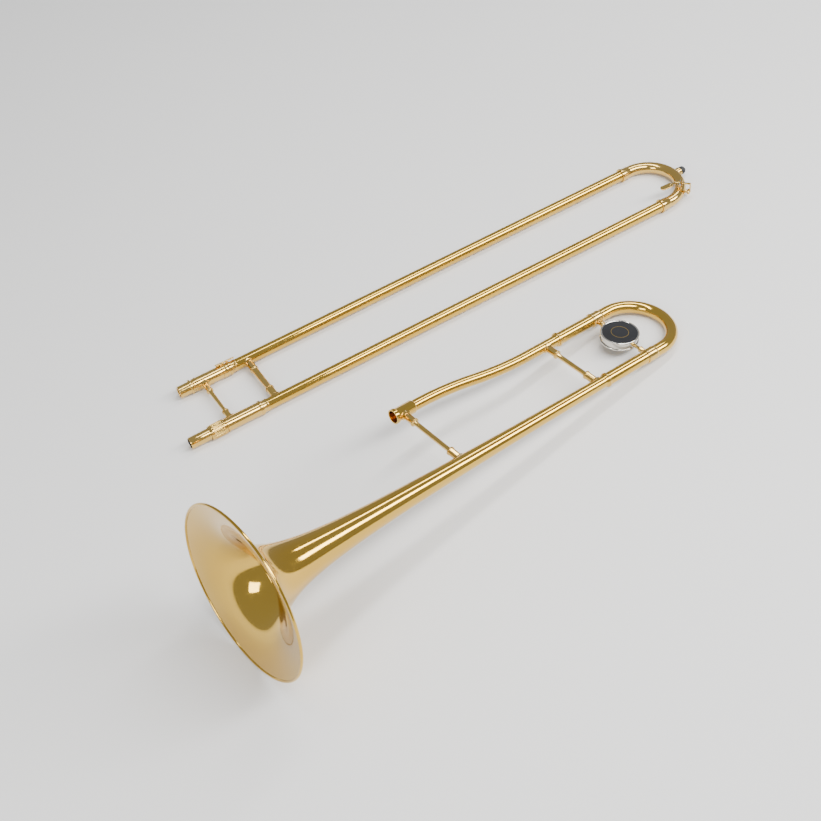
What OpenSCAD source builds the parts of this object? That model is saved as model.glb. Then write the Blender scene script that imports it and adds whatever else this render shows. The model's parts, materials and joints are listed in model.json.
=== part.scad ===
// Tenor slide trombone, taken apart as it is for its case: the bell section and the
// slide section lie side by side on one level surface.
// Each section is drawn in its own frame, with X along its tubes, and then placed.

/* [Bell] */
// Diameter over the rim of the bell
bell_d = 203.2; // [180:0.1:230]
// Length from the rim to the centre line of the tuning bow's outermost point
bell_len = 660; // [550:1:800]
// Thickness of the bell's sheet brass
bell_wall = 0.7; // [0.5:0.05:1.2]
// Radius of the bead that is rolled over the rim wire
bead_r = 1.7; // [1.3:0.05:2.5]
// Length scale of the flare: a smaller value opens the bell closer to its rim
flare_scale = 11; // [8:0.5:20]
// Power of the flare's horn law
flare_power = 0.68; // [0.6:0.01:0.75]
// Length of the flare piece, from the rim to its seam with the stem
flare_len = 150; // [100:1:200]
// Distance from the receiver's open end to the front brace
front_brace_gap = 13; // [13:0.5:20]
// Distance from the rear brace to the tuning sleeve behind it
rear_brace_gap = 10; // [10:0.5:40]

/* [Neckpipe] */
// Bore radius of the neckpipe
neck_bore_r = 6.2; // [5.5:0.05:8]
// Wall of the neckpipe
neck_wall = 0.6; // [0.4:0.05:1]
// Sideways step of the gooseneck
neck_step = 17.5; // [17.5:0.5:26]
// Distance from the rim to the open end of the slide receiver
receiver_x = 284; // [260:1:300]
// Depth of the receiver's socket
receiver_depth = 24; // [18:0.5:30]
// Wall of the receiver's sleeve
receiver_wall = 0.8; // [0.7:0.1:2]

/* [Tuning slide] */
// Distance between the two tubes of the bell section
tuning_cc = 92; // [76:0.5:112]
// Bore radius of the tuning slide's inner legs
leg_bore_r = 6.5; // [5.4:0.05:8]
// Wall of the inner legs
leg_wall = 0.55; // [0.4:0.05:0.8]
// Wall of the outer sleeves and of the bow
sleeve_wall = 0.6; // [0.4:0.05:1]
// Length of the outer sleeve on the bell side
sleeve_len = 71; // [60:1:90]
// Difference in length between the two sleeves
sleeve_diff = 9; // [0:1:15]
// Straight length between the sleeves' ends and the start of the bend
bow_straight = 26; // [20:1:40]
// Height of the bows' ferrules along the tube
ferrule_len = 9; // [7:0.5:14]
// Diameter of the round counterweight
weight_d = 48; // [40:1:56]
// Thickness of the counterweight
weight_t = 11; // [8:0.5:16]
// Distance of the counterweight from the middle, towards the neckpipe
weight_off = 3; // [0:0.5:4]

/* [Hand slide] */
// Distance between the two tubes of the hand slide
slide_cc = 87; // [72:0.5:105]
// Length from the mouthpiece receiver to the slide bow's outermost centre line
slide_len = 740; // [600:1:900]
// Bore radius of the inner slide tubes
slide_bore_r = 6.35; // [5.25:0.05:7.65]
// Wall of the inner slide tubes
inner_wall = 0.35; // [0.3:0.05:0.5]
// Rise of the stockings over the inner tubes
stocking_rise = 0.1; // [0.05:0.05:0.2]
// Wall of the outer slide tubes
outer_wall = 0.5; // [0.3:0.05:0.8]
// Length of a stocking
stocking_len = 90; // [60:1:110]
// Distance from the receiver end to the inner brace
inner_brace_x = 33; // [32:0.5:38]
// Distance from the receiver end to the hand grip brace
outer_brace_x = 95; // [90:0.5:110]
// Start of the cork barrels
barrel_x = 23; // [22:0.5:24]
// Length of a cork barrel
barrel_len = 49; // [44:0.5:54]
// Depth that the outer tubes enter the cork barrels
barrel_depth = 8; // [5:0.5:10]

/* [Ends of the hand slide] */
// Rise over the cork barrels of the rings and of the lock nut, on which the slide lies
rest_rise = 0.95; // [0.9:0.05:2]
// Bore radius of the mouthpiece receiver
mouthpiece_r = 6.35; // [5.9:0.05:7.5]
// Depth of the mouthpiece receiver's bore
mouthpiece_depth = 20; // [15:0.5:22]
// Wall of the slide tenon
tenon_wall = 1.05; // [0.8:0.05:1.6]
// Length of the slide tenon in front of the lock nut
tenon_len = 28; // [24:0.5:36]
// Wall of the lock nut over its bore
nut_wall = 1.75; // [1.7:0.05:3]
// Wall of the mouthpiece receiver
mouthpiece_wall = 1.5; // [1:0.1:1.6]
// Angle of the slide bow at which the water key sits, from its outermost point
key_angle = -50; // [-60:1:-35]

/* [Braces] */
// Radius of the rods of the thin braces, in the bell section
brace_rod_r = 3; // [1.8:0.1:3.2]
// Radius of the rod of the brace between the inner tubes
inner_rod_r = 2.6; // [2:0.1:3.4]
// Radius of the hand grip's rod, between the outer tubes
grip_rod_r = 4.4; // [3.6:0.1:4.6]
// Radius of the saddles under the ends of the braces, as seen along the brace
flange_r = 6.5; // [5.6:0.1:6.5]
// Thickness of the saddles
flange_t = 1.2; // [0.8:0.1:1.6]

/* [Fits] */
// Radial clearance of a running fit
run_fit = 0.05; // [0.02:0.01:0.1]
// Gap between pieces that move past each other without guiding
free_gap = 0.4; // [0.3:0.05:0.8]

/* [Placing] */
// Distance from the rim's centre to the slide's bell-side tube, along the bell section
slide_place_x = 134; // [100:1:170]
// Distance from the bell's axis to the slide's bell-side tube, across
slide_place_y = 290; // [270:1:330]
// Turn of the hand slide on the surface
slide_yaw = -8.4; // [-12:0.1:0]

/* [Hidden] */
$fn = 64;

// Colours of the finishes
gold = "goldenrod";
pale = "burlywood";
nickel = "silver";
dark = "dimgray";

// Hand slide, from the inner tubes outwards; the slide lies on rings of radius rest_r
inner_r = slide_bore_r + inner_wall;
stocking_r = inner_r + stocking_rise;
outer_bore_r = stocking_r + run_fit;
outer_r = outer_bore_r + outer_wall;
barrel_bore_r = outer_r + free_gap;
barrel_r = barrel_bore_r + 0.8;
tenon_r = slide_bore_r + tenon_wall;
nut_bore_r = tenon_r + 0.3 + run_fit;
rest_r = max(barrel_r + rest_rise, nut_bore_r + nut_wall);
mouth_end_r = mouthpiece_r + mouthpiece_wall;
ring_x = 15;

// Tubes of the bell section
leg_r = leg_bore_r + leg_wall;
sleeve_bore_r = leg_r + run_fit;
sleeve_r = sleeve_bore_r + sleeve_wall;
sleeve_lap = 3;
bow_r = sleeve_r + 0.15;
bow_bore_r = bow_r - sleeve_wall;
neck_r = neck_bore_r + neck_wall;
tune_x = bell_len - tuning_cc / 2 - bow_straight;
bend_x = bell_len - tuning_cc / 2;
stem_end_x = tune_x - sleeve_len;
neck_end_x = stem_end_x + sleeve_diff;
neck_y = tuning_cc;
socket_y = tuning_cc + neck_step;
stop_gap = 0.3;
seam_gap = 0.02;
ring_w = 3;
ring_rise = 1.3;
lap_wall = 0.4;

// Braces
saddle_reach = flange_r + 0.1;
thin_rise = 1.1;
thick_rise = 1.6;
grip_rise = 0.5;
front_x = receiver_x + front_brace_gap;
rear_x = stem_end_x - rear_brace_gap;

// Bell flare
rim_r = bell_d / 2 - bead_r;
edge_r = rim_r - bead_r * 0.6;
flare_steps = 22;
function bell_r(x) = edge_r * pow(flare_scale / (x + flare_scale), flare_power);
function bell_slope(x) = -flare_power * bell_r(x) / (x + flare_scale);
function bell_in(x) =
    let (m = bell_slope(x), n = sqrt(1 + m * m))
    [bell_r(x) - bell_wall / n, x + bell_wall * m / n];
flare_xs = [for (i = [0 : flare_steps]) flare_len * pow(i / flare_steps, 2.4)];
// The stem is straight from end to end of each saddle, so that saddle and stem fit
front_steps = 4;
rear_steps = 6;
stem_xs = concat(
    [for (i = [0 : front_steps])
        flare_len + (front_x - saddle_reach - flare_len) * i / front_steps],
    [for (i = [0 : rear_steps])
        front_x + saddle_reach + (rear_x - front_x - 2 * saddle_reach) * i / rear_steps],
    [rear_x + saddle_reach, stem_end_x - sleeve_lap, stem_end_x]);
// A sleeve is widened at its end where the tube that it laps is the thicker one
stem_lap_r = max(sleeve_r, bell_r(stem_end_x - sleeve_lap) + lap_wall);
neck_lap_r = max(sleeve_r, neck_r + lap_wall);

// Counterweight
weight_x = tune_x + stop_gap + 3.5;
weight_y = tuning_cc / 2 + weight_off;
weight_face_t = 0.8;
weight_rim_h = 1.6;
arm_y0 = sleeve_r + 0.5;
arm_y1 = weight_y - weight_d / 2;
arm_far_y1 = tuning_cc - weight_y - weight_d / 2;

// Slide receiver on the neckpipe
receiver_bore_r = tenon_r + run_fit;
receiver_r = receiver_bore_r + receiver_wall;
receiver_end = receiver_x + receiver_depth + 6;
collar_len = 5;
collar_r = receiver_r + 0.9;
goose_x0 = receiver_end + 6;
goose_x1 = stem_end_x - 40;
goose_len = goose_x1 - goose_x0;
goose_a = 2 * atan(neck_step / goose_len);
goose_rad = goose_len / (2 * sin(goose_a));

// Lengths of the hand slide
barrel_end = barrel_x + barrel_len;
outer_x0 = barrel_end - barrel_depth;
crook_r = slide_cc / 2;
crook_x = slide_len - crook_r;
band_w = 8;
crook_wall = 0.8;
crook_tube_r = outer_r + 0.35;
inner_end = crook_x - 8;
lead_r = slide_bore_r - 0.05;
lead_len = 210;
cork_len = 5;

// Slide lock
lock_bore_r = barrel_r + run_fit;
lock_ring_r = rest_r - 0.2;
lock_x0 = barrel_end - 12;
lock_x1 = lock_x0 + 6;
hook_end = barrel_end + 9;
hook_rest = 25;
stud_angle = -45;

// Lock nut and tenon
nut_x0 = 3;
nut_x1 = barrel_x - 1;
nut_flutes = 24;
collar_x0 = 6;
collar_x1 = 9;

// Bumper
bumper_r = 5.5;
bumper_x = slide_len + crook_tube_r + 7;

// Water key, in the frame of the slide bow at key_angle:
// X outwards from the bow, Y along its centre line
hinge_z = crook_tube_r + 4;
hinge_r = 2.3;
pin_r = 0.9;
ear_in = 5;
ear_t = 1.6;
nipple_r = 2.6;
nipple_bore = 1.5;
nipple_x = crook_tube_r + 2.8;
cork_r = 3.5;
cork_t = 1.6;
key_gap = 0.15;
touch_x = -15;
touch_y = -15;
touch_z = hinge_z + 2.6;
elbow_x = -6.5;
elbow_y = -2;

// The bell section leans forward until its rim and its bow both touch the surface
bead_x = -bell_wall / 2;
lean_x = bell_len - bead_x;
lean = acos((bow_r - bead_r) / sqrt(rim_r * rim_r + lean_x * lean_x)) - atan2(lean_x, rim_r);
bell_z = rim_r * cos(lean) + bead_x * sin(lean) + bead_r;

// The origin is the middle of the whole footprint
x_low = bead_x - rim_r * sin(lean) - bead_r;
x_high = slide_place_x + bumper_x * cos(slide_yaw) - crook_r * sin(slide_yaw) + bumper_r;
y_low = -rim_r - bead_r;
y_high = slide_place_y + max((slide_cc + mouth_end_r) * cos(slide_yaw),
    (slide_cc + rest_r) * cos(slide_yaw) + ring_x * sin(slide_yaw));
mid = [(x_low + x_high) / 2, (y_low + y_high) / 2, 0];

module place_bell() {
    translate([0, 0, bell_z] - mid) rotate([0, lean, 0]) children();
}

module place_slide() {
    translate([slide_place_x, slide_place_y, rest_r] - mid) rotate([0, 0, slide_yaw]) children();
}

module place_key() {
    place_slide() translate([crook_x, crook_r, 0]) rotate([0, 0, key_angle])
        translate([crook_r, 0, 0]) children();
}

module rod(x0, x1, r) {
    translate([x0, 0, 0]) rotate([0, 90, 0]) cylinder(h = x1 - x0, r = r);
}

module tube(x0, x1, r_out, r_in) {
    difference() {
        rod(x0, x1, r_out);
        rod(x0 - 1, x1 + 1, r_in);
    }
}

// A shape drawn as [radius, distance along the tube] and turned about X
module turned() {
    rotate([0, 90, 0]) rotate_extrude() children();
}

module bend(radius, r_out, r_in, from, sweep) {
    rotate([0, 0, from]) rotate_extrude(angle = sweep) translate([radius, 0])
        difference() {
            circle(r = r_out);
            circle(r = r_in);
        }
}

module solid_bend(radius, r_out, from, sweep) {
    rotate([0, 0, from]) rotate_extrude(angle = sweep) translate([radius, 0]) circle(r = r_out);
}

// A cylinder or cone about X, from radius ra to radius rb, across the foot of a brace
module foot(x, ra, rb) {
    translate([x - saddle_reach, 0, 0]) rotate([0, 90, 0])
        cylinder(h = 2 * saddle_reach, r1 = ra, r2 = rb);
}

// A cross rod between a tube or cone at y = 0, of radius ra to rb under the rod's foot, and
// a tube of radius r1 at y = span, with a socket and a ring at each end; its ends are cut
// to lie on the saddles
module brace(x, span, ra, rb, r1, rod_r, socket_rise, socket_len) {
    y0 = (ra + rb) / 2 + flange_t;
    y1 = span - r1 - flange_t;
    socket_r = rod_r + socket_rise;
    ring_r = socket_r + 0.8;
    difference() {
        translate([x, 0, 0]) rotate([-90, 0, 0]) {
            translate([0, 0, y0 - 1]) cylinder(h = y1 - y0 + 2, r = rod_r);
            translate([0, 0, y0 - 1]) cylinder(h = socket_len + 1, r = socket_r);
            translate([0, 0, y1 - socket_len]) cylinder(h = socket_len + 1, r = socket_r);
            translate([0, 0, y0 + socket_len]) cylinder(h = 2, r = ring_r);
            translate([0, 0, y1 - socket_len - 2]) cylinder(h = 2, r = ring_r);
        }
        foot(x, ra + flange_t, rb + flange_t);
        translate([0, span, 0]) foot(x, r1 + flange_t, r1 + flange_t);
    }
}

// A saddle that wraps a tube or a cone under the end of a brace; side is 1 or -1 along Y
module flange(x, y, r0, r1, side) {
    translate([x, y, 0]) intersection() {
        difference() {
            foot(0, r0 + flange_t, r1 + flange_t);
            foot(0, r0, r1);
        }
        rotate([-90 * side, 0, 0]) cylinder(h = 30, r = flange_r);
    }
}

module bell_flare() {
    color(gold) place_bell() {
        turned() polygon(concat(
            [for (x = flare_xs) [bell_r(x), x]],
            [for (i = [flare_steps : -1 : 0]) bell_in(flare_xs[i])]));
        turned() translate([rim_r, bead_x]) difference() {
            circle(r = bead_r);
            circle(r = bead_r - 0.6);
        }
    }
}

module rim_wire() {
    color(gold) place_bell() turned() translate([rim_r, bead_x])
        circle(r = bead_r - 0.6 - run_fit);
}

module bell_stem() {
    color(gold) place_bell() turned() polygon(concat(
        [for (x = stem_xs) [bell_r(x), x]],
        [for (i = [len(stem_xs) - 1 : -1 : 1]) bell_in(stem_xs[i])],
        [bell_in(flare_len), [bell_r(flare_len), flare_len]]));
}

// Straight, out through the two bends of the gooseneck, and straight again, in four
// lengths with a hairline between them
module neckpipe() {
    bend_gap = seam_gap / goose_rad * 180 / PI;
    color(gold) place_bell() {
        translate([0, neck_y, 0])
            tube(goose_x1 + seam_gap, neck_end_x, neck_r, neck_bore_r);
        translate([goose_x1, neck_y + goose_rad, 0])
            bend(goose_rad, neck_r, neck_bore_r, -90 - goose_a + bend_gap, goose_a - bend_gap);
        translate([goose_x0, socket_y - goose_rad, 0])
            bend(goose_rad, neck_r, neck_bore_r, 90 - goose_a, goose_a - bend_gap);
        translate([0, socket_y, 0])
            tube(receiver_x + receiver_depth, goose_x0, neck_r, neck_bore_r);
    }
}

module slide_receiver() {
    color(pale) place_bell() translate([0, socket_y, 0]) {
        tube(receiver_x, receiver_x + receiver_depth, receiver_r, receiver_bore_r);
        tube(receiver_x + receiver_depth, receiver_end, receiver_r, neck_r);
        tube(receiver_x, receiver_x + collar_len, collar_r, receiver_bore_r);
    }
}

module front_brace() {
    color(pale) place_bell() brace(front_x, socket_y, bell_r(front_x - saddle_reach),
        bell_r(front_x + saddle_reach), receiver_r, brace_rod_r, thick_rise, 12);
}

module front_brace_flanges() {
    color(pale) place_bell() {
        flange(front_x, 0, bell_r(front_x - saddle_reach), bell_r(front_x + saddle_reach), 1);
        flange(front_x, socket_y, receiver_r, receiver_r, -1);
    }
}

module rear_brace() {
    color(pale) place_bell() brace(rear_x, neck_y, bell_r(rear_x - saddle_reach),
        bell_r(rear_x + saddle_reach), neck_r, brace_rod_r, thick_rise, 12);
}

module rear_brace_flanges() {
    color(pale) place_bell() {
        flange(rear_x, 0, bell_r(rear_x - saddle_reach), bell_r(rear_x + saddle_reach), 1);
        flange(rear_x, neck_y, neck_r, neck_r, -1);
    }
}

// Each sleeve laps the end of the tube that it is brazed to
module tuning_sleeve_bell_side() {
    color(gold) place_bell() {
        tube(stem_end_x, stem_end_x + ring_w, stem_lap_r, sleeve_bore_r);
        tube(stem_end_x + ring_w, tune_x, sleeve_r, sleeve_bore_r);
        turned() polygon([[stem_lap_r, stem_end_x - sleeve_lap], [stem_lap_r, stem_end_x],
            [bell_r(stem_end_x), stem_end_x],
            [bell_r(stem_end_x - sleeve_lap), stem_end_x - sleeve_lap]]);
    }
}

module tuning_sleeve_neckpipe_side() {
    color(gold) place_bell() translate([0, neck_y, 0]) {
        tube(neck_end_x, neck_end_x + ring_w, neck_lap_r, sleeve_bore_r);
        tube(neck_end_x + ring_w, tune_x, sleeve_r, sleeve_bore_r);
        tube(neck_end_x - sleeve_lap, neck_end_x, neck_lap_r, neck_r);
    }
}

module tuning_sleeve_rings() {
    color(pale) place_bell() {
        tube(stem_end_x, stem_end_x + ring_w, stem_lap_r + ring_rise, stem_lap_r);
        tube(tune_x - ring_w, tune_x, sleeve_r + ring_rise, sleeve_r);
        translate([0, neck_y, 0]) {
            tube(neck_end_x, neck_end_x + ring_w, neck_lap_r + ring_rise, neck_lap_r);
            tube(tune_x - ring_w, tune_x, sleeve_r + ring_rise, sleeve_r);
        }
    }
}

// The inner leg ends short of the stem, so that the slide can be pushed home
module tuning_leg(y, x_start) {
    color(nickel) place_bell() translate([0, y, 0])
        tube(x_start, tune_x + ferrule_len, leg_r, leg_bore_r);
}

module tuning_leg_bell_side() {
    tuning_leg(0, stem_end_x + 8);
}

module tuning_leg_neckpipe_side() {
    tuning_leg(neck_y, neck_end_x + 8);
}

module tuning_ferrules() {
    color(pale) place_bell() for (y = [0, neck_y]) translate([0, y, 0]) {
        tube(tune_x + stop_gap, tune_x + ferrule_len, sleeve_r + 0.5, leg_r);
        tube(tune_x + ferrule_len, tune_x + ferrule_len + 4, sleeve_r + 0.8, bow_r);
    }
}

module tuning_bow() {
    color(gold) place_bell() {
        translate([bend_x, tuning_cc / 2, 0])
            bend(tuning_cc / 2, bow_r, bow_bore_r, -90, 180);
        for (y = [0, neck_y]) translate([0, y, 0])
            tube(tune_x + ferrule_len, bend_x, bow_r, bow_bore_r);
    }
}

module counterweight_body() {
    color(nickel) place_bell() translate([weight_x, weight_y, 0])
        cylinder(h = weight_t - 2 * weight_face_t, r = weight_d / 2 - 1, center = true, $fn = 96);
}

module counterweight_faces() {
    color("black") place_bell() for (side = [-1, 1])
        translate([weight_x, weight_y, side * (weight_t - weight_face_t) / 2])
            cylinder(h = weight_face_t, r = weight_d / 2 - 2, center = true, $fn = 96);
}

// A rim ring laps the edge of a face and stands a little proud of it
module counterweight_rims() {
    color(nickel) place_bell() for (side = [0, 1])
        translate([weight_x, weight_y, 0]) mirror([0, 0, side])
            translate([0, 0, weight_t / 2 - weight_face_t]) difference() {
                translate([0, 0, weight_face_t - weight_rim_h + 0.4])
                    cylinder(h = weight_rim_h, r = weight_d / 2, $fn = 96);
                translate([0, 0, -5]) cylinder(h = 5, r = weight_d / 2 - 1, $fn = 96);
                translate([0, 0, -5]) cylinder(h = 20, r = weight_d / 2 - 2, $fn = 96);
            }
}

// An arm, to y1, that holds the counterweight on a ferrule
module weight_arm(y1) {
    translate([weight_x, 0, 0]) rotate([-90, 0, 0]) {
        translate([0, 0, arm_y0]) cylinder(h = y1 - arm_y0 + 2, r = 2.2);
        translate([0, 0, arm_y0 - 1]) cylinder(h = 6, r = 3.2);
        translate([0, 0, arm_y0 + 5]) cylinder(h = 1.8, r = 3.9);
    }
}

module counterweight_arms() {
    color(pale) place_bell() difference() {
        union() {
            weight_arm(arm_y1);
            translate([0, tuning_cc, 0]) mirror([0, 1, 0]) weight_arm(arm_far_y1);
        }
        translate([weight_x, weight_y, 0])
            cylinder(h = 20, r = weight_d / 2 - 1, center = true, $fn = 96);
        for (y = [0, tuning_cc]) translate([0, y, 0]) rod(tune_x - 5, bend_x, arm_y0);
    }
}

module mouthpiece_receiver() {
    color(pale) place_slide() translate([0, slide_cc, 0]) difference() {
        union() {
            rod(0, barrel_x, mouth_end_r);
            rod(barrel_x - 3, barrel_x, barrel_r);
        }
        rod(-1, mouthpiece_depth, mouthpiece_r);
        rod(mouthpiece_depth - 1, barrel_x + 1, lead_r - 0.4);
    }
}

module receiver_ring() {
    color(pale) place_slide() translate([0, slide_cc, 0])
        tube(ring_x, ring_x + ring_w, rest_r, mouth_end_r);
}

module leadpipe() {
    color(gold) place_slide() translate([0, slide_cc, 0])
        tube(barrel_x, barrel_x + lead_len, lead_r, lead_r - 0.4);
}

module inner_tube() {
    tube(barrel_x, inner_end, inner_r, slide_bore_r);
}

module stocking() {
    tube(inner_end - stocking_len, inner_end, stocking_r, inner_r);
}

module cork_barrel() {
    difference() {
        union() {
            rod(barrel_x, barrel_end, barrel_r);
            rod(barrel_end - 3, barrel_end, rest_r - 0.1);
            rod(barrel_x, barrel_x + 2, rest_r - 0.4);
        }
        rod(barrel_x - 1, barrel_end + 1, inner_r);
        rod(outer_x0 - stop_gap - cork_len, barrel_end + 1, barrel_bore_r);
    }
}

module inner_tube_mouthpiece_side() {
    color(nickel) place_slide() translate([0, slide_cc, 0]) inner_tube();
}

module inner_tube_bell_side() {
    color(nickel) place_slide() inner_tube();
}

module stocking_mouthpiece_side() {
    color(nickel) place_slide() translate([0, slide_cc, 0]) stocking();
}

module stocking_bell_side() {
    color(nickel) place_slide() stocking();
}

module cork_barrel_mouthpiece_side() {
    color(pale) place_slide() translate([0, slide_cc, 0]) cork_barrel();
}

module cork_barrel_bell_side() {
    color(pale) place_slide() cork_barrel();
}

module barrel_corks() {
    color("peru") place_slide() for (y = [0, slide_cc]) translate([0, y, 0])
        tube(outer_x0 - stop_gap - cork_len, outer_x0 - stop_gap, barrel_bore_r, inner_r);
}

module inner_brace() {
    color(pale) place_slide() brace(inner_brace_x, slide_cc, barrel_r, barrel_r, barrel_r,
        inner_rod_r, thin_rise, 11);
}

module inner_brace_flanges() {
    color(pale) place_slide() {
        flange(inner_brace_x, 0, barrel_r, barrel_r, 1);
        flange(inner_brace_x, slide_cc, barrel_r, barrel_r, -1);
    }
}

module slide_tenon() {
    color(pale) place_slide() difference() {
        union() {
            rod(3 - tenon_len, 0, tenon_r);
            rod(0, collar_x0, tenon_r - 0.2);
            translate([2 - tenon_len, 0, 0]) rotate([0, 90, 0])
                cylinder(h = 1, r1 = tenon_r - 0.6, r2 = tenon_r);
            rod(collar_x0, barrel_x, tenon_r + 0.3);
            rod(collar_x0, collar_x1, rest_r - 1.3 - free_gap);
        }
        rod(-tenon_len, barrel_x + 1, slide_bore_r);
    }
}

module lock_nut() {
    color(pale) place_slide() difference() {
        union() {
            rod(nut_x0, nut_x1, rest_r);
            rod(nut_x0 - 2, nut_x0, rest_r - 0.5);
        }
        rod(nut_x0 - 3, collar_x1 + free_gap, rest_r - 1.3);
        rod(collar_x1, nut_x1 + 1, nut_bore_r);
        for (i = [0 : nut_flutes - 1]) rotate([i * 360 / nut_flutes, 0, 0])
            translate([0, 0, rest_r + 0.35]) rod(nut_x0 + 3, nut_x1 - 3, 0.8, $fn = 16);
    }
}

module slide_lock() {
    color(pale) place_slide() translate([0, slide_cc, 0]) {
        tube(lock_x0, lock_x1, lock_ring_r, lock_bore_r);
        rotate([-hook_rest, 0, 0]) {
            translate([lock_x0, -2.5, lock_ring_r - 0.3]) cube([lock_x1 - lock_x0, 5, 2.2]);
            translate([lock_x0, -2, lock_ring_r + 0.5]) cube([hook_end - lock_x0, 4, 1.4]);
            translate([lock_x0 - 5, -3.5, lock_ring_r + 0.5]) cube([9, 7, 1.4]);
        }
    }
}

module outer_tube() {
    tube(outer_x0, crook_x, outer_r, outer_bore_r);
}

module outer_tube_mouthpiece_side() {
    color(gold) place_slide() translate([0, slide_cc, 0]) outer_tube();
}

module outer_tube_bell_side() {
    color(gold) place_slide() outer_tube();
}

module outer_end_bands() {
    color(pale) place_slide() for (y = [0, slide_cc]) translate([0, y, 0])
        tube(barrel_end + stop_gap, barrel_end + stop_gap + band_w, outer_r + 0.7, outer_r);
}

module lock_stud() {
    color(pale) place_slide() translate([0, slide_cc, 0]) rotate([-stud_angle, 0, 0])
        translate([barrel_end + 5, 0, outer_r + 0.7]) cylinder(h = 2.6, r = 1.2);
}

module outer_brace() {
    color(pale) place_slide() brace(outer_brace_x, slide_cc, outer_r, outer_r, outer_r,
        grip_rod_r, grip_rise, 13);
}

module outer_brace_flanges() {
    color(pale) place_slide() {
        flange(outer_brace_x, 0, outer_r, outer_r, 1);
        flange(outer_brace_x, slide_cc, outer_r, outer_r, -1);
    }
}

module bow_ferrules() {
    color(pale) place_slide() for (y = [0, slide_cc]) translate([0, y, 0]) {
        tube(crook_x - 14, crook_x, outer_r + 1, outer_r);
        tube(crook_x - 14, crook_x - 11, rest_r, outer_r + 1);
    }
}

module slide_bow() {
    color(pale) place_slide() difference() {
        translate([crook_x, crook_r, 0]) bend(crook_r, crook_tube_r, outer_bore_r, -90, 180);
        translate([crook_x, crook_r, 0]) rotate([0, 0, key_angle])
            rod(crook_r, crook_r + 20, nipple_bore);
    }
}

module bumper_socket() {
    color(pale) place_slide() translate([0, crook_r, 0]) difference() {
        rod(slide_len + 3, slide_len + crook_tube_r + 4, bumper_r + 0.4);
        rod(slide_len + crook_tube_r + 2, slide_len + 30, bumper_r - 1);
        translate([crook_x, 0, 0]) solid_bend(crook_r, crook_tube_r, -60, 120);
    }
}

module bumper_tip() {
    x = slide_len + crook_tube_r + 2;
    color(dark) place_slide() translate([0, crook_r, 0]) {
        rod(x, x + 3, bumper_r - 1);
        intersection() {
            union() {
                rod(slide_len + crook_tube_r + 4, bumper_x, bumper_r);
                translate([bumper_x, 0, 0]) sphere(r = bumper_r);
            }
            rod(slide_len + crook_tube_r + 4, bumper_x + bumper_r + 1, bumper_r + 1);
        }
    }
}

module water_key_saddle() {
    color(pale) place_key() difference() {
        union() {
            translate([-3.5, -ear_in - ear_t, 0]) cube([7, 2 * (ear_in + ear_t),
                crook_tube_r + 1]);
            for (y = [-ear_in - ear_t, ear_in]) {
                translate([-2, y, 0]) cube([4, ear_t, hinge_z]);
                translate([0, y, hinge_z]) rotate([-90, 0, 0]) cylinder(h = ear_t, r = 2);
            }
        }
        translate([-crook_r, 0, 0]) solid_bend(crook_r, crook_tube_r, -30, 60);
        translate([-10, -20, -1]) cube([20, 40, crook_tube_r - 0.6]);
        translate([0, -20, hinge_z]) rotate([-90, 0, 0]) cylinder(h = 40, r = pin_r + run_fit);
    }
}

module water_key_nipple() {
    color(pale) place_key() difference() {
        rod(crook_tube_r - 0.4, nipple_x, nipple_r);
        rod(0, nipple_x + 1, nipple_bore);
    }
}

module water_key_pin() {
    color(nickel) place_key() translate([0, -ear_in - ear_t - 0.5, hinge_z])
        rotate([-90, 0, 0]) cylinder(h = 2 * (ear_in + ear_t) + 1, r = pin_r);
}

// Touch piece over the tube, hinge barrel, and a tail that turns down over the nipple
module water_key_lever() {
    tail_x = nipple_x + key_gap + cork_t;
    color(pale) place_key() difference() {
        union() {
            translate([0, -ear_in + free_gap, hinge_z]) rotate([-90, 0, 0])
                cylinder(h = 2 * (ear_in - free_gap), r = 1.5);
            translate([0, -2, hinge_z]) rotate([-90, 0, 0]) cylinder(h = 4, r = hinge_r);
            translate([0, -1.7, hinge_z + 0.6]) cube([tail_x + 2.6, 3.4, 1.5]);
            translate([tail_x + 1, -1.7, 0]) cube([1.6, 3.4, hinge_z + 1.2]);
            rod(tail_x - 0.6, tail_x + 1.6, cork_r + 0.5);
            hull() {
                translate([0, 0, hinge_z + 1]) cylinder(h = 1.2, r = 1.7, $fn = 24);
                translate([elbow_x, elbow_y, touch_z - 1]) cylinder(h = 1.2, r = 1.7, $fn = 24);
            }
            hull() {
                translate([elbow_x, elbow_y, touch_z - 1]) cylinder(h = 1.2, r = 1.7, $fn = 24);
                translate([touch_x + 3, touch_y + 5, touch_z]) cylinder(h = 1.2, r = 1.7, $fn = 24);
            }
            hull() {
                translate([touch_x + 4, touch_y + 4.6, touch_z]) cylinder(h = 1.6, r = 4, $fn = 32);
                translate([touch_x - 5, touch_y - 4, touch_z]) cylinder(h = 1.6, r = 4.8, $fn = 32);
            }
        }
        translate([0, -20, hinge_z]) rotate([-90, 0, 0]) cylinder(h = 40, r = pin_r + run_fit);
        rod(tail_x - 1, tail_x, cork_r);
    }
}

module water_key_cork() {
    color("peru") place_key() rod(nipple_x + key_gap, nipple_x + key_gap + cork_t, cork_r);
}

// Two coils round the hinge, each with a leg that stands on the saddle
module water_key_spring() {
    coil_w = ear_in - 2.9;
    color(nickel) place_key() for (y = [-ear_in + 0.5, 2.4]) {
        translate([0, y, hinge_z]) rotate([-90, 0, 0]) difference() {
            cylinder(h = coil_w, r = 2.4);
            translate([0, 0, -1]) cylinder(h = 10, r = 1.8);
        }
        translate([0, y + coil_w / 2, crook_tube_r + 1])
            cylinder(h = hinge_z - crook_tube_r - 1 - 2, r = 0.4);
    }
}

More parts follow.
